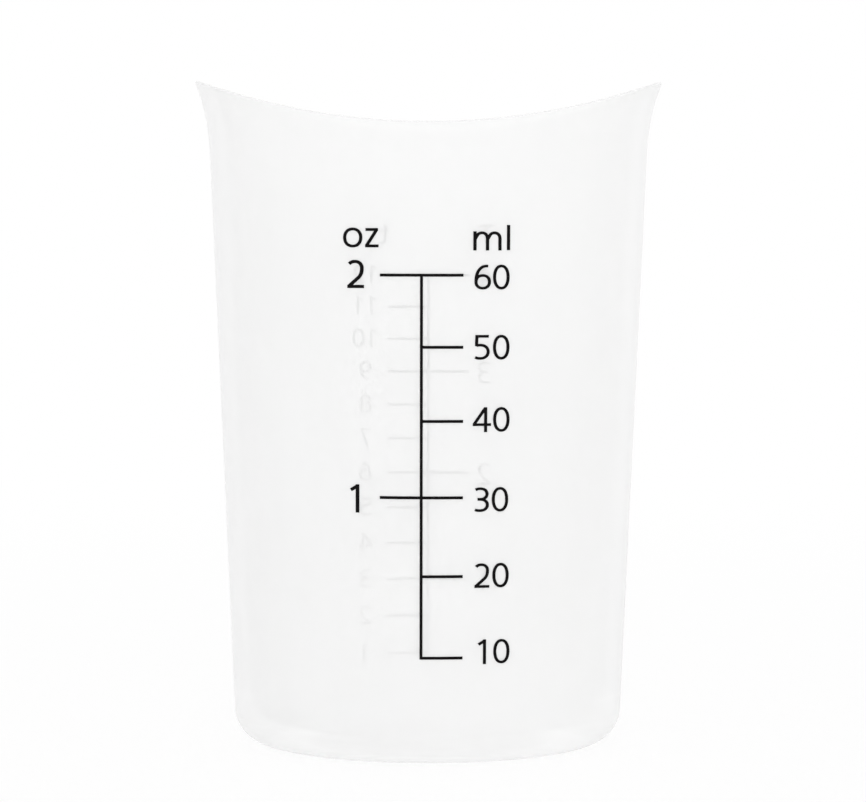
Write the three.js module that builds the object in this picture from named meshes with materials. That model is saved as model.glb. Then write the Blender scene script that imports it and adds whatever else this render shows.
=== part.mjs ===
// A small measuring cup with two pouring lips, moulded in one piece from soft translucent silicone.
// A scale in millilitres and ounces is printed on its front, and one in spoonfuls on its back.
// Millimetres, +Z up. The origin is the middle of the foot, on the table. The pouring lips point
// along X and the front scale faces -Y.
import * as THREE from "three";

// Moulding
const BASE_RADIUS = 20.6; // outside of the wall, carried straight down to the table
const WALL_LEAN = 2.53; // outward lean of the wall, in degrees
const WALL = 1.8; // thickness of the wall, measured level
const FLOOR = 2.4; // top of the floor above the table
const BASE_ROUND = 3.8; // radius of the edge between the wall and the table
const FLOOR_ROUND = 3.2; // radius of the corner between the wall and the floor, inside
const FOOT_WIDTH = 4.2; // width of the flat ring that the cup stands on
const FOOT_RECESS = 0.4; // how far the middle of the base is raised clear of the table
const FOOT_SLOPE = 0.9; // width of the sloping step round that recess
const FOOT_SOFT = 0.3; // radius along both edges of the step

// Rim and pouring lips
const RIM_HEIGHT = 66.0; // lowest points of the rim, at the front and the back
const LIP_RISE = 5.0; // how far the tips of the lips stand above those points
const LIP_FLARE = 1.35; // how far the tips are drawn outwards
const LIP_ROOT = 2.6; // how far below the lowest rim the lips begin to curl
const RIM_ROUND = 0.2; // radius along the two edges of the rim

// Printed scales
const FRONT_STEP_ML = 10; // from one front line to the next
const FRONT_TOP_ML = 60; // highest front line
const OUNCE_ML = 30; // an ounce as the front scale rounds it
const SPOON_ML = 4.929; // a teaspoon, from one rear line to the next
const REAR_TOP_SPOONS = 12; // highest rear line
const TABLESPOON = 3; // teaspoons in a tablespoon
const LINE_WIDTH = 0.3; // width of every printed line
const FRONT_REACH = 4.25; // from the middle of the front stem to the ends of its lines
const REAR_REACH = 4.65; // the same on the rear scale
const FRONT_STEM_SHIFT = -0.65; // front stem from the middle of the front, towards +X
const REAR_STEM_SHIFT = 0; // rear stem from the middle of the back, towards -X
const INK_SEAT = 0.03; // clearance between the ink and the wall
const INK_FILM = 0.05; // thickness of the ink

// Fineness of the facets
const AROUND = 72; // sections of the cup, a multiple of 4 so that tips and dips are among them
const ROUND_STEPS = 6; // steps along the two large radii
const EDGE_STEPS = 3; // steps along the small ones
const LIP_STEPS = 6; // steps up the curl of a lip
const LINE_STEPS = 4; // steps along a printed line on each side of its stem

const FRONT = -Math.PI / 2;
const wallSlope = Math.tan(THREE.MathUtils.degToRad(WALL_LEAN));
const lipRootHeight = RIM_HEIGHT - LIP_ROOT;
const lipTipHeight = RIM_HEIGHT + LIP_RISE;

// The wall is a cone. Above the roots of the lips it curls outwards along a parabola,
// fully at the two tips and not at all at the front and the back.
function outerRadius(z, angle) {
  const climb = Math.max(0, z - lipRootHeight) / (lipTipHeight - lipRootHeight);
  const flare = LIP_FLARE * climb ** 2 * Math.cos(angle) ** 2;
  return BASE_RADIUS + wallSlope * z + flare;
}

function innerRadius(z, angle) {
  return outerRadius(z, angle) - WALL;
}

// The rim is trimmed by one trough-shaped surface: its height grows with the square of X,
// from the dips at X = 0 to the tips of the lips.
function trimHeight(x) {
  const tipReach = outerRadius(lipTipHeight, 0);
  return RIM_HEIGHT + LIP_RISE * (x / tipReach) ** 2;
}

// Height at which the trim meets a wall surface at this angle. The lean and the flare move the
// wall outwards as the height grows, so the height is closed in on by repetition.
function rimHeight(radiusAt, angle) {
  const REPEATS = 12;
  let z = RIM_HEIGHT;
  for (let i = 0; i < REPEATS; i += 1) z = trimHeight(radiusAt(z, angle) * Math.cos(angle));
  return z;
}

// Points of the arc that rounds the corner between two straight edges.
function roundedCorner(before, corner, after, radius, steps) {
  const toBefore = before.clone().sub(corner).normalize();
  const toAfter = after.clone().sub(corner).normalize();
  const halfAngle = Math.acos(THREE.MathUtils.clamp(toBefore.dot(toAfter), -1, 1)) / 2;
  const toCentre = toBefore.clone().add(toAfter).normalize();
  const centre = corner.clone().addScaledVector(toCentre, radius / Math.sin(halfAngle));
  const setback = radius / Math.tan(halfAngle);
  const first = corner.clone().addScaledVector(toBefore, setback).sub(centre);
  const last = corner.clone().addScaledVector(toAfter, setback).sub(centre);
  const turn = Math.atan2(first.cross(last), first.dot(last));
  const points = [];
  for (let i = 0; i <= steps; i += 1) {
    points.push(first.clone().rotateAround(new THREE.Vector2(), (turn * i) / steps).add(centre));
  }
  return points;
}

// Points up one side of the wall at an angle, from the roots of the lips to the rim.
function wallPoints(radiusAt, angle) {
  const top = rimHeight(radiusAt, angle);
  const points = [];
  for (let i = 0; i <= LIP_STEPS; i += 1) {
    const z = THREE.MathUtils.lerp(lipRootHeight, top, i / LIP_STEPS);
    points.push(new THREE.Vector2(radiusAt(z, angle), z));
  }
  return points;
}

// Half section of the cup at an angle, as (radius, height): from the middle of the base outwards,
// up the outside, over the rim, down the inside and back to the middle of the floor.
function cupSection(angle) {
  const footOuter = BASE_RADIUS - BASE_ROUND;
  const footInner = footOuter - FOOT_WIDTH;
  const underside = new THREE.Vector2(0, FOOT_RECESS);
  const stepTop = new THREE.Vector2(footInner - FOOT_SLOPE, FOOT_RECESS);
  const stepFoot = new THREE.Vector2(footInner, 0);
  const baseCorner = new THREE.Vector2(BASE_RADIUS, 0);
  const outside = wallPoints(outerRadius, angle);
  const inside = wallPoints(innerRadius, angle).reverse();
  const floorCorner = new THREE.Vector2(innerRadius(FLOOR, angle), FLOOR);
  const floorMiddle = new THREE.Vector2(0, FLOOR);
  const outerEdge = outside.pop();
  const innerEdge = inside.shift();
  return [
    underside,
    ...roundedCorner(underside, stepTop, stepFoot, FOOT_SOFT, EDGE_STEPS),
    ...roundedCorner(stepTop, stepFoot, baseCorner, FOOT_SOFT, EDGE_STEPS),
    ...roundedCorner(stepFoot, baseCorner, outside[0], BASE_ROUND, ROUND_STEPS),
    ...outside,
    ...roundedCorner(outside.at(-1), outerEdge, innerEdge, RIM_ROUND, EDGE_STEPS),
    ...roundedCorner(outerEdge, innerEdge, inside[0], RIM_ROUND, EDGE_STEPS),
    ...inside,
    ...roundedCorner(inside.at(-1), floorCorner, floorMiddle, FLOOR_ROUND, ROUND_STEPS),
    floorMiddle,
  ];
}

// Closed skin lofted through sections that stand round the Z axis and start and end on it.
function loftAround(sectionAt, count) {
  const sections = Array.from({ length: count }, (_, i) => sectionAt((2 * Math.PI * i) / count));
  const rings = sections[0].length - 2;
  const positions = [0, 0, sections[0][0].y, 0, 0, sections[0].at(-1).y];
  sections.forEach((section, i) => {
    const angle = (2 * Math.PI * i) / count;
    section.slice(1, -1).forEach((point) => {
      positions.push(point.x * Math.cos(angle), point.x * Math.sin(angle), point.y);
    });
  });
  const vertex = (i, ring) => 2 + (i % count) * rings + ring;
  const triangles = [];
  for (let i = 0; i < count; i += 1) {
    triangles.push(0, vertex(i + 1, 0), vertex(i, 0));
    triangles.push(1, vertex(i, rings - 1), vertex(i + 1, rings - 1));
    for (let ring = 0; ring < rings - 1; ring += 1) {
      triangles.push(vertex(i, ring), vertex(i + 1, ring), vertex(i + 1, ring + 1));
      triangles.push(vertex(i, ring), vertex(i + 1, ring + 1), vertex(i, ring + 1));
    }
  }
  return geometryOf(positions, triangles);
}

function geometryOf(positions, triangles) {
  const geometry = new THREE.BufferGeometry();
  geometry.setAttribute("position", new THREE.Float32BufferAttribute(positions, 3));
  geometry.setIndex(triangles);
  geometry.computeVertexNormals();
  return geometry;
}

// Volume inside the cup up to a height, in millilitres: slices of cones between the points of
// the inside, from the floor up.
function volumeBelow(height, insideUpwards) {
  const MM3_PER_ML = 1000;
  let volume = 0;
  for (let i = 1; i < insideUpwards.length; i += 1) {
    const low = insideUpwards[i - 1];
    const high = insideUpwards[i];
    if (high.y > low.y && height > low.y) {
      const share = Math.min(1, (height - low.y) / (high.y - low.y));
      const top = low.clone().lerp(high, share);
      volume += (Math.PI / 3) * (low.x ** 2 + low.x * top.x + top.x ** 2) * (top.y - low.y);
    }
  }
  return volume / MM3_PER_ML;
}

// Height to which a volume in millilitres fills the cup, by halving the range that holds it.
function fillHeight(millilitres) {
  const HALVINGS = 40;
  const section = cupSection(FRONT);
  const insideUpwards = section.slice(section.findIndex((point) => point.y > lipRootHeight)).reverse();
  let low = FLOOR;
  let high = RIM_HEIGHT;
  for (let i = 0; i < HALVINGS; i += 1) {
    const middle = (low + high) / 2;
    if (volumeBelow(middle, insideUpwards) < millilitres) low = middle;
    else high = middle;
  }
  return (low + high) / 2;
}

// Lines of a scale as far up as the straight wall goes. A line always runs to the near side,
// and also to the far side at each multiple of the larger unit.
function scaleLines(stepMl, count, largerUnit) {
  const lines = [];
  for (let step = 1; step <= count; step += 1) {
    const height = fillHeight(step * stepMl);
    if (height + LINE_WIDTH / 2 < lipRootHeight) lines.push({ height, both: step % largerUnit === 0 });
  }
  return lines;
}

// Ink film of a scale, laid round the wall: an upright stem with lines across it. It is a grid of
// patches along the lines' edges. Each inked patch has a face on both sides, and an edge wall
// wherever the next patch is bare. "turn" faces the scale: 0 for the front, half a turn for the back.
function scaleFilm(lines, reach, stemShift, turn) {
  const half = LINE_WIDTH / 2;
  const across = [];
  for (let i = 0; i <= LINE_STEPS; i += 1) {
    across.push(THREE.MathUtils.lerp(-reach, -half, i / LINE_STEPS));
  }
  across.push(...across.map((u) => -u).reverse());
  const up = lines.flatMap((line) => [line.height - half, line.height + half]);
  const stem = LINE_STEPS;
  const inked = (column, row) => {
    if (row < 0 || row >= up.length - 1 || column < 0 || column >= across.length - 1) return false;
    if (column === stem) return true;
    return row % 2 === 0 && (column > stem || lines[row / 2].both);
  };
  const place = (column, row, depth) => {
    const wall = outerRadius(up[row], FRONT);
    const angle = turn + (across[column] + stemShift) / wall;
    const radius = wall + INK_SEAT + depth;
    return [radius * Math.sin(angle), -radius * Math.cos(angle), up[row]];
  };
  const positions = [];
  const addFace = (a, b, c, d) => positions.push(...a, ...b, ...c, ...a, ...c, ...d);
  const addEdge = (from, to) => {
    addFace(place(...from, 0), place(...to, 0), place(...to, INK_FILM), place(...from, INK_FILM));
  };
  for (let row = 0; row < up.length - 1; row += 1) {
    for (let column = 0; column < across.length - 1; column += 1) {
      if (!inked(column, row)) continue;
      const corners = [[column, row], [column + 1, row], [column + 1, row + 1], [column, row + 1]];
      addFace(...corners.map((corner) => place(...corner, INK_FILM)));
      addFace(...corners.map((corner) => place(...corner, 0)).reverse());
      if (!inked(column, row - 1)) addEdge(corners[0], corners[1]);
      if (!inked(column + 1, row)) addEdge(corners[1], corners[2]);
      if (!inked(column, row + 1)) addEdge(corners[2], corners[3]);
      if (!inked(column - 1, row)) addEdge(corners[3], corners[0]);
    }
  }
  return geometryOf(positions, positions.flatMap((_, i) => (i % 3 === 0 ? [i / 3] : [])));
}

function silicone() {
  return new THREE.MeshStandardMaterial({
    color: 0xf4f6f6, roughness: 0.42, metalness: 0, transparent: true, opacity: 0.7,
  });
}

function printingInk() {
  return new THREE.MeshStandardMaterial({ color: 0x231f20, roughness: 0.6, metalness: 0 });
}

function addPiece(group, name, geometry, material) {
  const mesh = new THREE.Mesh(geometry, material);
  mesh.name = name;
  group.add(mesh);
}

const frontLines = scaleLines(FRONT_STEP_ML, FRONT_TOP_ML / FRONT_STEP_ML, OUNCE_ML / FRONT_STEP_ML);
const rearLines = scaleLines(SPOON_ML, REAR_TOP_SPOONS, TABLESPOON);

const measuringCup = new THREE.Group();
addPiece(measuringCup, "cup_body", loftAround(cupSection, AROUND), silicone());
addPiece(
  measuringCup, "front_scale_print",
  scaleFilm(frontLines, FRONT_REACH, FRONT_STEM_SHIFT, 0), printingInk(),
);
addPiece(
  measuringCup, "rear_scale_print",
  scaleFilm(rearLines, REAR_REACH, REAR_STEM_SHIFT, Math.PI), printingInk(),
);

export default measuringCup;
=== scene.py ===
# %% [markdown]
# # A small measuring cup in translucent silicone
# The real cup leaves its mould in one piece: a soft, milky beaker, a little wider at the top, whose rim dips
# at the front and back and rises to a pouring lip on each side. Afterwards two scales are printed on it in
# black ink, millilitres and ounces on the front, teaspoons and tablespoons on the back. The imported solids
# already hold the cup's sizes and the lines of both scales. This lesson adds a smooth skin, a milky
# see-through finish and the numerals.

import bmesh
import bpy
import numpy as np
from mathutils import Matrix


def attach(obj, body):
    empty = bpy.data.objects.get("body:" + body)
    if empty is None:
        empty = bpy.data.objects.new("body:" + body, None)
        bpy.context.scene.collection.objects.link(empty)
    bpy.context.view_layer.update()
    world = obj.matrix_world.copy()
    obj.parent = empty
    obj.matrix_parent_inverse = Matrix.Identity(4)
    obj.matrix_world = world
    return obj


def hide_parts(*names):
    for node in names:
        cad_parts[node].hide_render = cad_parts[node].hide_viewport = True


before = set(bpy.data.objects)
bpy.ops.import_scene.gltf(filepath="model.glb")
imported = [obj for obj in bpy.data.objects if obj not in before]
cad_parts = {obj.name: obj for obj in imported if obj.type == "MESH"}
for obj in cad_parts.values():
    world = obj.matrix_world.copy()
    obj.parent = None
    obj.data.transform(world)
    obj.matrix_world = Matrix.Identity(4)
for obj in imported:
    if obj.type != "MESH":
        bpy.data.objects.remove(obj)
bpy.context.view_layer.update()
MM = 0.001


# %% [markdown]
# ## The wall as a formula
# The wall of the cup is a cone that leans out by a small draft angle, so that the mould can open. Near the
# rim it curls outwards, fully at the two pouring lips and not at all at the front and back. A mesh could be
# drawn by hand or turned from one profile, but a turned rim is level. Here the radius is a formula of height
# and angle, and everything that touches the wall, the print included, asks that same formula where the wall
# is. Sizes are in millimetres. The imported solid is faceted, so its base radius of 20.6 and rim height of 66
# are a hair smaller here, which keeps the smooth skin inside the solid's box.

# %% Sizes of the moulding
BASE_RADIUS = 20.595  # outside of the wall, carried straight down to the table
WALL_LEAN = 2.53  # outward lean of the wall, in degrees
WALL = 1.8  # thickness of the wall, measured level
FLOOR = 2.4  # top of the floor above the table
BASE_ROUND = 3.8  # radius of the edge between the wall and the table
FLOOR_ROUND = 3.2  # radius of the corner between the wall and the floor, inside
FOOT_WIDTH = 4.2  # width of the flat ring that the cup stands on
FOOT_RECESS = 0.4  # how far the middle of the base is raised clear of the table
FOOT_SLOPE = 0.9  # width of the sloping step round that recess
FOOT_SOFT = 0.3  # radius along both edges of the step
RIM_HEIGHT = 65.985  # lowest points of the rim, at the front and the back
LIP_RISE = 5.0  # how far the tips of the lips stand above those points
LIP_FLARE = 1.35  # how far the tips are drawn outwards
LIP_ROOT = 2.6  # how far below the lowest rim the lips begin to curl
RIM_ROUND = 0.2  # radius along the two edges of the rim
RIM_CLEAR = 0.6  # height that the rounding of the rim takes up at most, at the tips, where it is sharpest
RIM_REPEATS = 12  # repetitions that settle the height of the rim
wall_slope = np.tan(np.radians(WALL_LEAN))
lip_root_height = RIM_HEIGHT - LIP_ROOT
lip_tip_height = RIM_HEIGHT + LIP_RISE


def outer_radius(z, angle):
    """Radius of the outside: a cone, plus a curl that grows with the square of the height above the lips'
    roots and with the squared cosine of the angle from X."""
    climb = np.clip((z - lip_root_height) / (lip_tip_height - lip_root_height), 0, None)
    return BASE_RADIUS + wall_slope * z + LIP_FLARE * climb**2 * np.cos(angle) ** 2


def inner_radius(z, angle):
    """Radius of the inside: the outside less the thickness of the wall."""
    return outer_radius(z, angle) - WALL


def rim_height(radius_at, angle):
    """Height where the wall meets the trim of the rim, a trough whose height grows with the square of X. The
    wall leans, so its radius depends on that height in turn, and repetition closes in on both."""
    tip_reach = outer_radius(lip_tip_height, 0.0)
    z = np.full_like(angle, RIM_HEIGHT)
    for _ in range(RIM_REPEATS):
        z = RIM_HEIGHT + LIP_RISE * (radius_at(z, angle) * np.cos(angle) / tip_reach) ** 2
    return z


print("across the lips, before rounding:", round(2 * outer_radius(lip_tip_height, 0.0), 2), "mm")

# %% [markdown]
# ## The silicone moulding
# Cut through the middle, the cup shows one closed outline: out along the recessed base, round the soft lower
# edge, up the outside, over the rim, down the inside and back across the floor. A Screw modifier could turn
# one such outline into a cup, but this outline differs a little from angle to angle, because the rim rises
# towards the lips. So it is worked out for all angles at once, as an array of angle by step by (radius,
# height), and carried round the axis. The skin stays closed, with a wall of real thickness.

# %% Parts of the outline
AROUND = 288
angles = np.linspace(0, 2 * np.pi, AROUND, endpoint=False)


def corner_at(radius, height):
    """One corner of the outline at every angle, as an array of angle by (radius, height)."""
    corner = [np.broadcast_to(radius, AROUND), np.broadcast_to(height, AROUND)]
    return np.stack(corner, axis=1).astype(float)


def rounded(before, corner, after, radius, steps):
    """The arc that rounds a corner: its centre lies on the corner's bisector, a radius away from both edges,
    and the arc turns about it from one edge's normal to the other's."""
    to_before = (before - corner) / np.linalg.norm(before - corner, axis=1, keepdims=True)
    to_after = (after - corner) / np.linalg.norm(after - corner, axis=1, keepdims=True)
    half = np.arccos(np.clip((to_before * to_after).sum(1), -1, 1))[:, None] / 2
    bisector = to_before + to_after
    bisector /= np.linalg.norm(bisector, axis=1, keepdims=True)
    centre = corner + bisector * radius / np.sin(half)
    first = corner + to_before * radius / np.tan(half) - centre
    last = corner + to_after * radius / np.tan(half) - centre
    cross = first[:, 0] * last[:, 1] - first[:, 1] * last[:, 0]
    turn = np.arctan2(cross, (first * last).sum(1))[:, None] * np.linspace(0, 1, steps + 1)
    x = first[:, :1] * np.cos(turn) - first[:, 1:] * np.sin(turn)
    y = first[:, :1] * np.sin(turn) + first[:, 1:] * np.cos(turn)
    return centre[:, None] + np.stack([x, y], axis=2)


def straight(start, end, steps):
    """Evenly spaced points between two corners, without the corners themselves."""
    share = np.linspace(0, 1, steps + 1)[1:-1]
    return start[:, None] + (end - start)[:, None] * share[:, None]


def up_the_wall(radius_at, low, high, steps):
    """Points of a wall surface at heights spaced evenly between two limits. The upper one may differ from
    angle to angle."""
    share = np.linspace(0, 1, steps + 1)
    z = low + (high - low)[:, None] * share
    return np.stack([radius_at(z, angles[:, None]), z], axis=2)


print("angles:", AROUND)

# %% The outline at every angle
# Steps of the mesh along each stretch
UNDERSIDE_STEPS = 6
FOOT_STEPS = 5
BASE_STEPS = 18
WALL_STEPS = 30
LIP_STEPS = 20
RIM_EDGE_STEPS = 6
RIM_TOP_STEPS = 4
FLOOR_ROUND_STEPS = 16
FLOOR_STEPS = 8

foot_inner = BASE_RADIUS - BASE_ROUND - FOOT_WIDTH
underside = corner_at(0.0, FOOT_RECESS)
step_top = corner_at(foot_inner - FOOT_SLOPE, FOOT_RECESS)
step_foot = corner_at(foot_inner, 0.0)
base_corner = corner_at(BASE_RADIUS, 0.0)
floor_corner = corner_at(inner_radius(FLOOR, angles), FLOOR)
floor_middle = corner_at(0.0, FLOOR)
outer_rim = rim_height(outer_radius, angles)
inner_rim = rim_height(inner_radius, angles)
outside = up_the_wall(outer_radius, lip_root_height, outer_rim - RIM_CLEAR, LIP_STEPS)
inside = up_the_wall(inner_radius, lip_root_height, inner_rim - RIM_CLEAR, LIP_STEPS)[:, ::-1]
outer_edge = corner_at(outer_radius(outer_rim, angles), outer_rim)
inner_edge = corner_at(inner_radius(inner_rim, angles), inner_rim)
base_arc = rounded(step_foot, base_corner, outside[:, 0], BASE_ROUND, BASE_STEPS)
floor_arc = rounded(inside[:, -1], floor_corner, floor_middle, FLOOR_ROUND, FLOOR_ROUND_STEPS)
step_arc = rounded(underside, step_top, step_foot, FOOT_SOFT, FOOT_STEPS)
foot_arc = rounded(step_top, step_foot, base_corner, FOOT_SOFT, FOOT_STEPS)
outer_rim_arc = rounded(outside[:, -1], outer_edge, inner_edge, RIM_ROUND, RIM_EDGE_STEPS)
inner_rim_arc = rounded(outer_edge, inner_edge, inside[:, 0], RIM_ROUND, RIM_EDGE_STEPS)
outline = np.concatenate(
    [
        straight(underside, step_arc[:, 0], UNDERSIDE_STEPS),
        step_arc,
        foot_arc,
        straight(foot_arc[:, -1], base_arc[:, 0], FOOT_STEPS),
        base_arc,
        straight(base_arc[:, -1], outside[:, 0], WALL_STEPS),
        outside,
        outer_rim_arc,
        straight(outer_rim_arc[:, -1], inner_rim_arc[:, 0], RIM_TOP_STEPS),
        inner_rim_arc,
        inside,
        straight(inside[:, -1], floor_arc[:, 0], WALL_STEPS),
        floor_arc,
        straight(floor_arc[:, -1], floor_middle, FLOOR_STEPS),
    ],
    axis=1,
)
print("outline:", outline.shape[1], "steps at", outline.shape[0], "angles")

# %% The moulding's skin


def put_mesh(name, points, faces, smooth=True):
    """A new object whose mesh has these points and faces, shaded smooth or flat."""
    mesh = bpy.data.meshes.new(name)
    mesh.from_pydata(points.tolist(), [], faces)
    mesh.polygons.foreach_set("use_smooth", np.full(len(mesh.polygons), smooth))
    mesh.validate()
    piece = bpy.data.objects.new(name, mesh)
    bpy.context.scene.collection.objects.link(piece)
    return piece


def carried_round(name, outline, first_pole, last_pole):
    """Closed skin of an outline carried round Z: point = (radius cos a, radius sin a, height). Each step of
    the outline is a ring, quads join neighbouring rings, and fans close the two ends at their poles."""
    around, along = outline.shape[:2]
    radius = outline[:, :, 0]
    x = radius * np.cos(angles)[:, None]
    y = radius * np.sin(angles)[:, None]
    rings = np.stack([x, y, outline[:, :, 1]], axis=2).reshape(-1, 3)
    points = np.concatenate([rings, [[0, 0, first_pole], [0, 0, last_pole]]]) * MM
    here = np.arange(around)[:, None] * along + np.arange(along)
    after = np.roll(here, -1, axis=0)
    quads = np.stack([here[:, :-1], after[:, :-1], after[:, 1:], here[:, 1:]], axis=2).reshape(-1, 4)
    first_fan = np.stack([np.full(around, around * along), after[:, 0], here[:, 0]], axis=1)
    last_fan = np.stack([np.full(around, around * along + 1), here[:, -1], after[:, -1]], axis=1)
    return put_mesh(name, points, quads.tolist() + first_fan.tolist() + last_fan.tolist())


def skin_volume(piece):
    """Volume inside a closed skin, in cubic millimetres. It is positive where the faces point outwards."""
    skin = bmesh.new()
    skin.from_mesh(piece.data)
    volume = skin.calc_volume(signed=True)
    skin.free()
    return volume / MM**3


cup = carried_round("silicone_cup", outline, FOOT_RECESS, FLOOR)
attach(cup, "root")
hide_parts("cup_body")
print("silicone:", round(skin_volume(cup)), "mm3 in", len(cup.data.polygons), "faces")

# %% [markdown]
# ## Numerals from pen strokes
# The numerals and units are printed with the scale, in a light and nearly even stroke, so each can be drawn
# as a pen would draw it: a path of straight runs and arcs, with a flat ribbon of ink carried along it. A font
# would be quicker, but this keeps the open, round figures of the real scale. The paths are drawn in a box
# that is 1 high, and `p` is half the pen in that measure.

# %% Straight runs and arcs
SQUARENESS = 2.2  # power of the ellipse, where 2 is a true one
STEP_DEGREES = 6
FEWEST_STEPS = 6


def line(*points):
    """A path straight from point to point."""
    return np.array(points, dtype=float)


def arc(x, y, rx, ry, start, end):
    """A path along a slightly squared ellipse, |u|^n + |v|^n = 1, at angles from start to end in degrees:
    u = |cos t|^(2/n) and v = |sin t|^(2/n), with their signs kept."""
    steps = max(FEWEST_STEPS, int(abs(end - start) / STEP_DEGREES))
    t = np.radians(np.linspace(start, end, steps + 1))
    u = np.sign(np.cos(t)) * np.abs(np.cos(t)) ** (2 / SQUARENESS)
    v = np.sign(np.sin(t)) * np.abs(np.sin(t)) ** (2 / SQUARENESS)
    return np.stack([x + rx * u, y + ry * v], axis=1)


def ring(x, y, rx, ry):
    """A whole squared ellipse. Its last point repeats the first, which marks the path as closed."""
    return arc(x, y, rx, ry, 0, 360)


print("points of a ring:", len(ring(0, 0, 1, 1)) - 1)

# %% Pen paths of each sign


def two(p):
    """A hook that runs straight down to the left, on a bar."""
    hook = arc(0.295, 0.76 - p, 0.26, 0.24, 142, 0)
    neck = arc(0.155, 0.76 - p, 0.4, 0.42, -7, -47)
    return [np.concatenate([hook, neck, line((0.075, p + 0.015))]), line((0.015, p), (0.635, p))]


def three(p):
    """Two bowls that meet at the waist, the upper one with a short bar into it."""
    waist = 0.515
    upper = arc(0.275, (1 - p + waist) / 2, 0.285, (1 - p - waist) / 2, 129, -90)
    lower = arc(0.255, (p + waist) / 2, 0.32, (waist - p) / 2, 90, -125)
    return [np.concatenate([upper, line((0.17, waist))]), lower]


def five(p):
    """A bar with a stem down from its left end, and an open bowl that starts at the stem's foot."""
    top = 0.588
    stem = line((0.585, 1 - p), (0.095, 1 - p), (0.08, 0.545))
    bowl = arc(0.225, (p + top) / 2, 0.335, (top - p) / 2, 104, -125)
    return [stem, np.concatenate([line((0.08, 0.575)), bowl])]


def six(p):
    """A low bowl, and a sweep from its left side up to the right."""
    bowl = ring(0.335, (p + 0.565) / 2, 0.335 - p, (0.565 - p) / 2)
    sweep = arc(0.5, 0.33, 0.5 - p, 0.67 - p, 180, 84)
    return [bowl, sweep]


def eight(p):
    """Two rings that meet at the waist, the lower one wider."""
    waist = 0.53
    upper = ring(0.345, (1 - p + waist) / 2, 0.235, (1 - p - waist) / 2)
    lower = ring(0.345, (p + waist) / 2, 0.285, (waist - p) / 2)
    return [upper, lower]


def letter_m(p):
    """Three stems. Two arches rise aslant from a stem and come down into the next."""
    first, second, third = 0.1, 0.775, 1.455
    paths = [line((first, 0), (first, 1))]
    for start, end in ((first, second), (second, third)):
        arch = arc(end - 0.3, 0.6, 0.3, 0.4 - p, 148, 0)
        paths.append(np.concatenate([line((start, 0.58)), arch, line((end, 0))]))
    return paths


def letter_t(p):
    """A stem that turns to the right at its foot, and a bar."""
    foot = arc(0.41, 0.27, 0.21, 0.27 - p, 180, 278)
    return [np.concatenate([line((0.2, 1)), foot]), line((0, 0.7), (0.46, 0.7))]


def pen_paths(sign, p):
    """The paths of one sign. p is half the pen, so that a stroke's outer edge lies on the box. A nine is a
    six turned by half a turn."""
    paths = {
        "0": [ring(0.345, 0.5, 0.345 - p, 0.5 - p)],
        "1": [line((0.14, 0.8), (0.385, 0.94)), line((0.39, 0), (0.39, 1))],
        "2": two(p),
        "3": three(p),
        "4": [
            line((0.45, 0), (0.45, 1)),
            line((-0.08, 0.3), (0.67, 0.3)),
            line((0.43, 0.955), (-0.025, 0.315)),
        ],
        "5": five(p),
        "6": six(p),
        "7": [line((0.02, 1 - p), (0.62, 1 - p)), line((0.572, 0.95), (0.2, 0))],
        "8": eight(p),
        "9": [np.array([0.67, 1.0]) - path for path in six(p)],
        "o": [ring(0.5, 0.5, 0.5 - p, 0.5 - p)],
        "z": [
            line((0.05, 1 - p), (0.71, 1 - p)),
            line((0.645, 1 - p), (0.095, p)),
            line((0.03, p), (0.74, p)),
        ],
        "m": letter_m(p),
        "l": [line((p, 0), (p, 1))],
        "t": letter_t(p),
        "T": [line((0, 1 - p), (0.8, 1 - p)), line((0.4, 0), (0.4, 0.95))],
    }
    return paths[sign]


TRIAL_PEN = 0.06
print("strokes:", {sign: len(pen_paths(sign, TRIAL_PEN)) for sign in "0123456789ozmltT"})

# %% [markdown]
# ## Ink on the wall
# Each stroke is a rectangle, the pen's width by the film's thickness, carried along its path. A Shrinkwrap
# modifier could pull it onto the cup, but it would lose its even thickness. So strokes are made flat, where
# those that cross are easy to fuse into one clean skin for each sign, and the sign is then bent round the
# cup: the distance along the print becomes an angle, the height stays, and the depth is added to the wall's
# radius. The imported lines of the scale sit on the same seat.

# %% A sign as one skin
INK_SEAT = 0.03  # clearance between the ink and the wall
INK_FILM = 0.05  # thickness of the ink
NIB = np.array([1.08, 0.92])  # width of upright and of level strokes, in pens
SLIVER = 0.004  # shorter edges, left where strokes only just cross, are taken out


def ribbon(path, pen):
    """A flat ribbon along a path. Each point moves out by half the pen along the mitre of its two edges'
    normals, (n1 + n2) / (1 + n1.n2), a little more in upright strokes than in level ones, as a pen with a
    flat nib does. The four corners of the section run along the path."""
    closed = np.allclose(path[0], path[-1])
    path = path[:-1] if closed else path
    edges = np.roll(path, -1, axis=0) - path
    normals = np.stack([-edges[:, 1], edges[:, 0]], axis=1)
    if not closed:
        normals[-1] = normals[-2]
    normals /= np.linalg.norm(normals, axis=1, keepdims=True)
    before = np.roll(normals, 1, axis=0)
    if not closed:
        before[0] = normals[0]
    mitre = (before + normals) / (1 + (before * normals).sum(1, keepdims=True))
    half = mitre * NIB * pen / 2
    left = path + half
    right = path - half
    low = np.zeros((len(path), 1))
    high = low + INK_FILM
    section = [(left, low), (right, low), (right, high), (left, high)]
    corners = [np.hstack(corner) for corner in section]
    here = np.arange(len(path))[:, None] * 4 + np.arange(4)
    after = np.roll(here, -1, axis=0)
    if not closed:
        here, after = here[:-1], after[:-1]
    sides = [here, after, np.roll(after, -1, axis=1), np.roll(here, -1, axis=1)]
    faces = np.stack(sides, axis=2).reshape(-1, 4).tolist()
    if not closed:
        faces += [[0, 1, 2, 3], (4 * len(path) - 1 - np.arange(4)).tolist()]
    return put_mesh("stroke", np.stack(corners, axis=1).reshape(-1, 3), faces)


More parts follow.
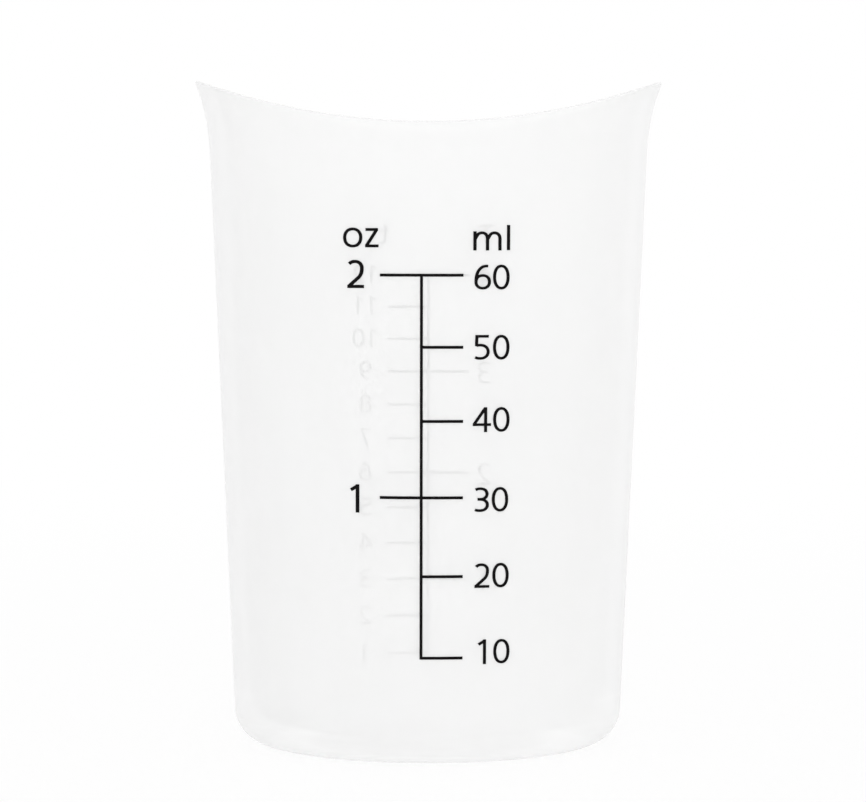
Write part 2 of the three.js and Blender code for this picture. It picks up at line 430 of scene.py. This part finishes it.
def fused(strokes):
    """The points and triangles of one skin that holds all the strokes, which are deleted themselves."""
    for other in strokes[1:]:
        join = strokes[0].modifiers.new("join", "BOOLEAN")
        join.operation = "UNION"
        join.solver = "MANIFOLD"
        join.object = other
    skin = bmesh.new()
    skin.from_object(strokes[0], bpy.context.evaluated_depsgraph_get())
    bmesh.ops.dissolve_degenerate(skin, dist=SLIVER, edges=skin.edges)
    bmesh.ops.triangulate(skin, faces=skin.faces)
    points = np.array([vertex.co for vertex in skin.verts])
    triangles = np.array([[vertex.index for vertex in face.verts] for face in skin.faces])
    skin.free()
    for stroke in strokes:
        bpy.data.meshes.remove(stroke.data)
    return points, triangles


def sign_skin(sign, height, pen, left, base):
    """One sign of a given height, with the left of its box and its base line at a place on the flat print."""
    paths = pen_paths(sign, pen / 2 / height)
    return fused([ribbon(path * height + [left, base], pen) for path in paths])


print("ink:", INK_FILM, "mm thick,", INK_SEAT, "mm clear of the wall")

# %% Signs laid on the cup
FRONT = 0.0
BACK = np.pi
DIGIT_PITCH = 0.765  # from one digit to the next, in heights of a digit


def bent_round(points, turn):
    """Flat print laid on the wall: angle = distance along the print / radius, and radius = wall + seat +
    depth. The turn is measured from the front, -Y. All print lies below the curl of the lips, where the wall
    has the same radius at every angle."""
    wall = outer_radius(points[:, 1], FRONT)
    angle = turn + points[:, 0] / wall
    radius = wall + INK_SEAT + points[:, 2]
    return np.stack([radius * np.sin(angle), -radius * np.cos(angle), points[:, 1]], axis=1) * MM


def printed(name, signs, turn):
    """One piece of print: all its signs, each a closed film of ink on the wall."""
    skins = [sign_skin(*sign) for sign in signs]
    counts = np.cumsum([0] + [len(points) for points, _ in skins])
    points = np.concatenate([points for points, _ in skins])
    faces = np.concatenate([triangles + start for (_, triangles), start in zip(skins, counts)])
    piece = put_mesh(name, bent_round(points, turn), faces.tolist(), smooth=False)
    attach(piece, "root")
    print(name + ":", len(signs), "signs,", round(skin_volume(piece), 3), "mm3 of ink")
    return piece


def number(text, height, pen, left, middle):
    """The signs of a number, at an even pitch, with its middle at a given height."""
    pitch = DIGIT_PITCH * height
    return [(digit, height, pen, left + i * pitch, middle - height / 2) for i, digit in enumerate(text)]


def line_heights(node):
    """Heights of the lines of a packed scale, from the lowest up: its film's levels come in pairs, one pair a
    line."""
    co = np.empty(len(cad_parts[node].data.vertices) * 3)
    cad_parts[node].data.vertices.foreach_get("co", co)
    levels = np.unique(np.round(co[2::3] / MM, 2))
    return (levels[0::2] + levels[1::2]) / 2


front_lines = line_heights("front_scale_print")
rear_lines = line_heights("rear_scale_print")
print("front lines at", front_lines, "mm, rear lines at", rear_lines, "mm")

# %% [markdown]
# ## The front scale
# Millilitres stand to the right of the lines and ounces, a little larger, to the left, each column under its
# unit. One rule could set every number level with its line, but on the real print each has its own small
# lift, so a short list holds their places.

# %% Front numerals and units
ML_STEP = 10
ML_HEIGHT = 2.55
ML_PEN = 0.305
# Left edge of each number from 10 up, and its lift above its line
ML_PLACES = ((4.91, 0.58), (4.78, 0.06), (4.69, -0.22), (4.8, 0.16), (4.76, -0.02), (4.74, -0.2))
OZ_HEIGHT = 2.9
OZ_PEN = 0.365
OZ_LEFT = -8.4
# Each ounce, the front line that it stands at, counted from 0, and its lift above that line
OZ_PLACES = (("1", 2, -0.15), ("2", 5, 0.09))
UNIT_PEN = 0.32
# Each sign with its height, pen, left edge and base line
FRONT_UNITS = (
    ("o", 2.05, UNIT_PEN, -8.8, 53.21),
    ("z", 1.98, UNIT_PEN, -6.5, 53.23),
    ("m", 1.94, UNIT_PEN, 4.58, 52.95),
    ("l", 2.56, UNIT_PEN, 8.17, 52.98),
)

front_numerals = []
for index, (left, lift) in enumerate(ML_PLACES):
    text = str(ML_STEP * (index + 1))
    front_numerals += number(text, ML_HEIGHT, ML_PEN, left, front_lines[index] + lift)
for text, index, lift in OZ_PLACES:
    front_numerals += number(text, OZ_HEIGHT, OZ_PEN, OZ_LEFT, front_lines[index] + lift)
front_number_print = printed("front_numerals", front_numerals, FRONT)
front_unit_print = printed("front_units", FRONT_UNITS, FRONT)

# %% [markdown]
# ## The rear scale
# Twelve teaspoons, with a tablespoon at every third line. Seen from behind, teaspoons are on the right. The
# rear print is smaller and finer, and from the front it shows only as a faint mirrored ghost through both
# walls. Such a ghost is too faint to give each number its own place, so here each column is centred, with one
# lift for all its numbers.

# %% Rear numerals and units
DIGIT_WIDTH = 0.69  # in heights of a digit
TEASPOON_HEIGHT = 2.1
TEASPOON_PEN = 0.26
TEASPOON_LIFT = 0.15
TEASPOON_MIDDLE = 7.25
TABLESPOON = 3  # teaspoons in a tablespoon
TABLESPOON_HEIGHT = 2.5
TABLESPOON_PEN = 0.29
TABLESPOON_LIFT = -0.1
TABLESPOON_MIDDLE = -6.42
# Each sign with its height, pen, left edge and base line
REAR_UNITS = (("t", 2.25, TABLESPOON_PEN, 4.49, 53.3), ("T", 2.3, TABLESPOON_PEN, -7.59, 53.3))


def centred(text, height, pen, along, middle):
    """The signs of a number whose own middle lies at a distance along the print and at a given height."""
    width = (DIGIT_WIDTH + DIGIT_PITCH * (len(text) - 1)) * height
    return number(text, height, pen, along - width / 2, middle)


rear_numerals = []
for count, height in enumerate(rear_lines, start=1):
    middle = height + TEASPOON_LIFT
    rear_numerals += centred(str(count), TEASPOON_HEIGHT, TEASPOON_PEN, TEASPOON_MIDDLE, middle)
for count, height in enumerate(rear_lines[TABLESPOON - 1 :: TABLESPOON], start=1):
    middle = height + TABLESPOON_LIFT
    rear_numerals += centred(str(count), TABLESPOON_HEIGHT, TABLESPOON_PEN, TABLESPOON_MIDDLE, middle)
rear_number_print = printed("rear_numerals", rear_numerals, BACK)
rear_unit_print = printed("rear_units", REAR_UNITS, BACK)

# %% [markdown]
# ## Finishes
# A finish is a small graph of nodes. It could be drawn by hand in the Shader Editor, but as code it can be
# read and repeated. One function turns a hex colour to the linear values that shaders work in, and one adds a
# node with its settings and links. Patterns read Object coordinates, in metres, so a pattern's scale is one
# over its real size in metres. Most values of a noise lie between 0.3 and 0.7.

# %% Helpers for finishes
NOISE_LOW = 0.3
NOISE_HIGH = 0.7


def linear(code):
    """An sRGB hex colour as linear red, green, blue and an alpha of 1."""
    srgb = np.array([int(code[i : i + 2], 16) for i in (1, 3, 5)]) / 255
    values = np.where(srgb <= 0.04045, srgb / 12.92, ((srgb + 0.055) / 1.055) ** 2.4)
    return [float(v) for v in values] + [1.0]


def add_node(tree, kind, inputs=None, **settings):
    """Adds a node. Each entry of inputs sets a socket to a value, or links another node's output to it."""
    node = tree.nodes.new(kind)
    for name, value in settings.items():
        setattr(node, name, value)
    for socket, value in (inputs or {}).items():
        if isinstance(value, bpy.types.NodeSocket):
            tree.links.new(value, node.inputs[socket])
        else:
            node.inputs[socket].default_value = value
    return node


def new_material(name):
    """An empty material and its node tree."""
    material = bpy.data.materials.new(name)
    material.use_nodes = True
    material.node_tree.nodes.clear()
    return material, material.node_tree


def dress(piece, material):
    """Gives a piece one material in place of any it has."""
    piece.data.materials.clear()
    piece.data.materials.append(material)


print("mid grey in linear light:", [round(v, 4) for v in linear("#808080")])

# %% [markdown]
# ## Silicone rubber
# Platinum-cured silicone is naturally clear to milky. This cup is a pale neutral white that lets a little
# light straight through: print on the far side shows as a faint ghost. Its mould was lightly blasted, which
# gives a satin skin with no hard highlight. Glass filled with a cloudy volume would be the literal way, but
# it is slow and noisy. Here the milk is a pale shader with some scattering under the surface, and its alpha
# is what a surface keeps from passing straight through. Alpha rises a little towards the base, because the
# ghosts on the real cup grow fainter there, and more at a slant, where the way through the wall is longer.
# Faint clouding keeps the wall from looking like paper.

# %% Silicone finish
MILK_AT_BASE = 0.49  # alpha of a surface seen square on, at the table
MILK_AT_RIM = 0.395  # the same at the tips of the lips
MILK_AT_SLANT = 0.8  # alpha of a surface seen along itself
SLANT_START = 0.3  # how far a surface is turned away, from 0 to 1, when its alpha starts to rise
MILK_DEPTH = 2.5 * MM
CLOUD_SIZE = 11 * MM
# The blasting of a real mould is finer than 0.1 mm, and is drawn coarser so that it shows
GRAIN_SIZE = 0.45 * MM
GRAIN_DEPTH = 0.004 * MM


def milkiness(tree, place):
    """Alpha of the silicone: milk by height, and more of it at a slant. The cup's floor is mostly seen at a
    slant and would turn too dark, so the rise fades in over the rounding above it."""
    height = add_node(tree, "ShaderNodeSeparateXYZ", {"Vector": place}).outputs["Z"]
    milk = add_node(
        tree,
        "ShaderNodeMapRange",
        {"Value": height, "From Max": lip_tip_height * MM, "To Min": MILK_AT_BASE, "To Max": MILK_AT_RIM},
    )
    facing = add_node(tree, "ShaderNodeLayerWeight", {"Blend": 0.5}).outputs["Facing"]
    slant = add_node(
        tree,
        "ShaderNodeMapRange",
        {
            "Value": height,
            "From Min": FLOOR * MM,
            "From Max": (FLOOR + FLOOR_ROUND) * MM,
            "To Min": MILK_AT_BASE,
            "To Max": MILK_AT_SLANT,
        },
    )
    veil = add_node(
        tree,
        "ShaderNodeMapRange",
        {
            "Value": facing,
            "From Min": SLANT_START,
            "To Min": milk.outputs["Result"],
            "To Max": slant.outputs["Result"],
        },
        interpolation_type="SMOOTHSTEP",
    )
    return veil.outputs["Result"]


def silicone_rubber():
    """Moulded translucent silicone: milky, satin, with faint clouding and a fine blasted grain."""
    material, tree = new_material("silicone_rubber_satin")
    place = add_node(tree, "ShaderNodeTexCoord").outputs["Object"]
    cloud = add_node(tree, "ShaderNodeTexNoise", {"Vector": place, "Scale": 1 / CLOUD_SIZE, "Detail": 3.0})
    tint = add_node(
        tree,
        "ShaderNodeMix",
        {"Factor": cloud.outputs["Fac"], "A": linear("#FAFAFA"), "B": linear("#FFFFFF")},
        data_type="RGBA",
    )
    satin = add_node(
        tree,
        "ShaderNodeMapRange",
        {
            "Value": cloud.outputs["Fac"],
            "From Min": NOISE_LOW,
            "From Max": NOISE_HIGH,
            "To Min": 0.4,
            "To Max": 0.5,
        },
    )
    grain = add_node(tree, "ShaderNodeTexNoise", {"Vector": place, "Scale": 1 / GRAIN_SIZE, "Detail": 2.0})
    bump = add_node(
        tree,
        "ShaderNodeBump",
        {"Height": grain.outputs["Fac"], "Strength": 1.0, "Distance": GRAIN_DEPTH},
    )
    shader = add_node(
        tree,
        "ShaderNodeBsdfPrincipled",
        {
            "Base Color": tint.outputs["Result"],
            "Roughness": satin.outputs["Result"],
            "Normal": bump.outputs["Normal"],
            "IOR": 1.41,
            "Alpha": milkiness(tree, place),
            "Subsurface Weight": 0.15,
            "Subsurface Radius": (1.0, 1.0, 1.0),
            "Subsurface Scale": MILK_DEPTH,
        },
    )
    add_node(tree, "ShaderNodeOutputMaterial", {"Surface": shader.outputs["BSDF"]})
    return material


dress(cup, silicone_rubber())
print("finish:", cup.data.materials[0].name)

# %% [markdown]
# ## Printing ink
# Only a silicone-based ink holds on silicone. It is pushed through a screen, so the film is even, near black
# and nearly matt, with slightly thin spots where the screen left less ink. A plain black would do from afar.
# One noise gives the spots a paler colour, a smoother skin and a shallow dip, so that they agree.

# %% Ink finish
SPOT_SIZE = 0.35 * MM
SPOT_DEPTH = 0.01 * MM


def printing_ink():
    """Screen-printed black ink: matt, with faint thin spots."""
    material, tree = new_material("screen_printed_silicone_ink")
    place = add_node(tree, "ShaderNodeTexCoord").outputs["Object"]
    spots = add_node(tree, "ShaderNodeTexNoise", {"Vector": place, "Scale": 1 / SPOT_SIZE, "Detail": 2.0})
    tint = add_node(
        tree,
        "ShaderNodeMix",
        {"Factor": spots.outputs["Fac"], "A": linear("#0A0909"), "B": linear("#121011")},
        data_type="RGBA",
    )
    matt = add_node(
        tree,
        "ShaderNodeMapRange",
        {
            "Value": spots.outputs["Fac"],
            "From Min": NOISE_LOW,
            "From Max": NOISE_HIGH,
            "To Min": 0.5,
            "To Max": 0.68,
        },
    )
    bump = add_node(
        tree,
        "ShaderNodeBump",
        {"Height": spots.outputs["Fac"], "Strength": 0.6, "Distance": SPOT_DEPTH},
    )
    shader = add_node(
        tree,
        "ShaderNodeBsdfPrincipled",
        {
            "Base Color": tint.outputs["Result"],
            "Roughness": matt.outputs["Result"],
            "Normal": bump.outputs["Normal"],
            "Specular IOR Level": 0.06,
        },
    )
    add_node(tree, "ShaderNodeOutputMaterial", {"Surface": shader.outputs["BSDF"]})
    return material


ink = printing_ink()
inked = [front_number_print, front_unit_print, rear_number_print, rear_unit_print]
inked += [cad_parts[node] for node in ("front_scale_print", "rear_scale_print")]
for piece in inked:
    dress(piece, ink)
print("ink on:", [piece.name for piece in inked])

# %% [markdown]
# ## Paper and room
# The cup stands on white paper in a bright, even room. Such a background could be lit until it burns out to
# white, but that light would wash out the pale cup too. Here paper and room light the cup at a plain level,
# and only rays that see them directly find plain white, so the cup is told apart by being slightly darker.
# Near the cup the paper shows part of its real shading, and with it a soft shadow. Further off it fades into
# the white of the room. Distances are in metres.

# %% Paper and room
FLOOR_HALF = 3.0
SHADOW_REACH = 0.06  # up to here the paper shows the most of its shading
FADE_REACH = 0.4  # from here on it shows none
SHOWN_WHITE = 0.84  # share of plain white in the paper beside the cup
ROOM_LIGHT = 0.934


def seen_directly(tree):
    """1 where a ray comes from the camera, a reflection or a clear see-through, and 0 where it carries soft
    light."""
    path = add_node(tree, "ShaderNodeLightPath").outputs
    mirror = add_node(
        tree,
        "ShaderNodeMath",
        {0: path["Is Glossy Ray"], 1: path["Is Transmission Ray"]},
        operation="MAXIMUM",
    )
    return add_node(
        tree,
        "ShaderNodeMath",
        {0: path["Is Camera Ray"], 1: mirror.outputs[0]},
        operation="MAXIMUM",
    ).outputs[0]


def white_sweep():
    """Matt white paper that looks nearly pure white to the camera, and wholly so away from the cup."""
    material, tree = new_material("white_paper_sweep")
    place = add_node(tree, "ShaderNodeTexCoord").outputs["Object"]
    distance = add_node(tree, "ShaderNodeVectorMath", {0: place}, operation="LENGTH").outputs["Value"]
    whiteness = add_node(
        tree,
        "ShaderNodeMapRange",
        {"Value": distance, "From Min": SHADOW_REACH, "From Max": FADE_REACH, "To Min": SHOWN_WHITE},
        interpolation_type="SMOOTHSTEP",
    ).outputs["Result"]
    share = add_node(tree, "ShaderNodeMath", {0: seen_directly(tree), 1: whiteness}, operation="MULTIPLY")
    paper = add_node(tree, "ShaderNodeBsdfDiffuse", {"Color": linear("#FFFFFF")})
    white = add_node(tree, "ShaderNodeEmission", {"Color": linear("#FFFFFF"), "Strength": 1.0})
    mixed = add_node(
        tree,
        "ShaderNodeMixShader",
        {0: share.outputs[0], 1: paper.outputs[0], 2: white.outputs[0]},
    )
    add_node(tree, "ShaderNodeOutputMaterial", {"Surface": mixed.outputs[0]})
    return material


def white_room():
    """A world that lights evenly and is seen as plain white."""
    world = bpy.data.worlds.new("white_room")
    world.use_nodes = True
    tree = world.node_tree
    tree.nodes.clear()
    strength = add_node(
        tree,
        "ShaderNodeMix",
        {"Factor": seen_directly(tree), "A": ROOM_LIGHT, "B": 1.0},
        data_type="FLOAT",
    )
    room = add_node(
        tree,
        "ShaderNodeBackground",
        {"Color": linear("#FFFFFF"), "Strength": strength.outputs["Result"]},
    )
    add_node(tree, "ShaderNodeOutputWorld", {"Surface": room.outputs[0]})
    return world


floor_corners = np.array([[-1, -1, 0], [1, -1, 0], [1, 1, 0], [-1, 1, 0]]) * FLOOR_HALF
floor = put_mesh("floor", floor_corners, [[0, 1, 2, 3]])
dress(floor, white_sweep())
bpy.context.scene.world = white_room()
print("room light:", ROOM_LIGHT)

# %% [markdown]
# ## Lamp and bounces
# One large soft lamp stands in front, a little to the right. A spot would be easier to aim, but the edge of
# its light would show on so pale a skin. In a milky cup light is passed from wall to wall many times. Cycles
# stops a ray after a few soft bounces and a few see-through crossings, which would leave the base too dark,
# so both limits are raised.

# %% Lamp and bounces
LAMP_SIZE = 0.9
LAMP_POWER = 2.2
LAMP_PLACE = (0.26, -1.26, 0.05)
LAMP_TILT = 89  # degrees up from straight down
LAMP_TURN = 11.7  # degrees about Z, so that the lamp faces the cup
SOFT_BOUNCES = 12
CLEAR_CROSSINGS = 32

lamp_data = bpy.data.lights.new("soft_box", "AREA")
lamp_data.shape = "DISK"
lamp_data.size = LAMP_SIZE
lamp_data.energy = LAMP_POWER
lamp = bpy.data.objects.new("soft_box", lamp_data)
lamp.location = LAMP_PLACE
lamp.rotation_euler = (np.radians(LAMP_TILT), 0, np.radians(LAMP_TURN))
bpy.context.scene.collection.objects.link(lamp)
bpy.context.scene.cycles.diffuse_bounces = SOFT_BOUNCES
bpy.context.scene.cycles.transparent_max_bounces = CLEAR_CROSSINGS
print("lamp:", LAMP_POWER, "W,", LAMP_SIZE, "m across")

# %% [markdown]
# ## The camera
# The cup was photographed from a little below its rim, with a long lens, tilted down by under 3 degrees. A
# camera could be placed by eye, but the printed lines on the front and back give its distance: their rows
# agree with the true volumes only from about 0.4 m away. The lens then follows from the size of the cup in
# the picture, and is given as a focal length in pixels.

# %% Camera
FRAME_WIDTH = 866
FOCAL_PIXELS = 3668
SENSOR_WIDTH = 36.0
CAMERA_PLACE = (0.5 * MM, -394 * MM, 55.47 * MM)
CAMERA_TILT = 2.74  # degrees down from level
CAMERA_ROLL = -0.1  # degrees about Y, nearly the line of sight

camera_data = bpy.data.cameras.new("camera")
camera_data.sensor_width = SENSOR_WIDTH
camera_data.lens = FOCAL_PIXELS / FRAME_WIDTH * SENSOR_WIDTH
camera = bpy.data.objects.new("camera", camera_data)
camera.location = CAMERA_PLACE
camera.rotation_euler = (np.radians(90 - CAMERA_TILT), np.radians(CAMERA_ROLL), 0)
bpy.context.scene.collection.objects.link(camera)
bpy.context.scene.camera = camera
bpy.context.scene.view_settings.view_transform = "Standard"
print("lens:", round(camera_data.lens, 1), "mm")
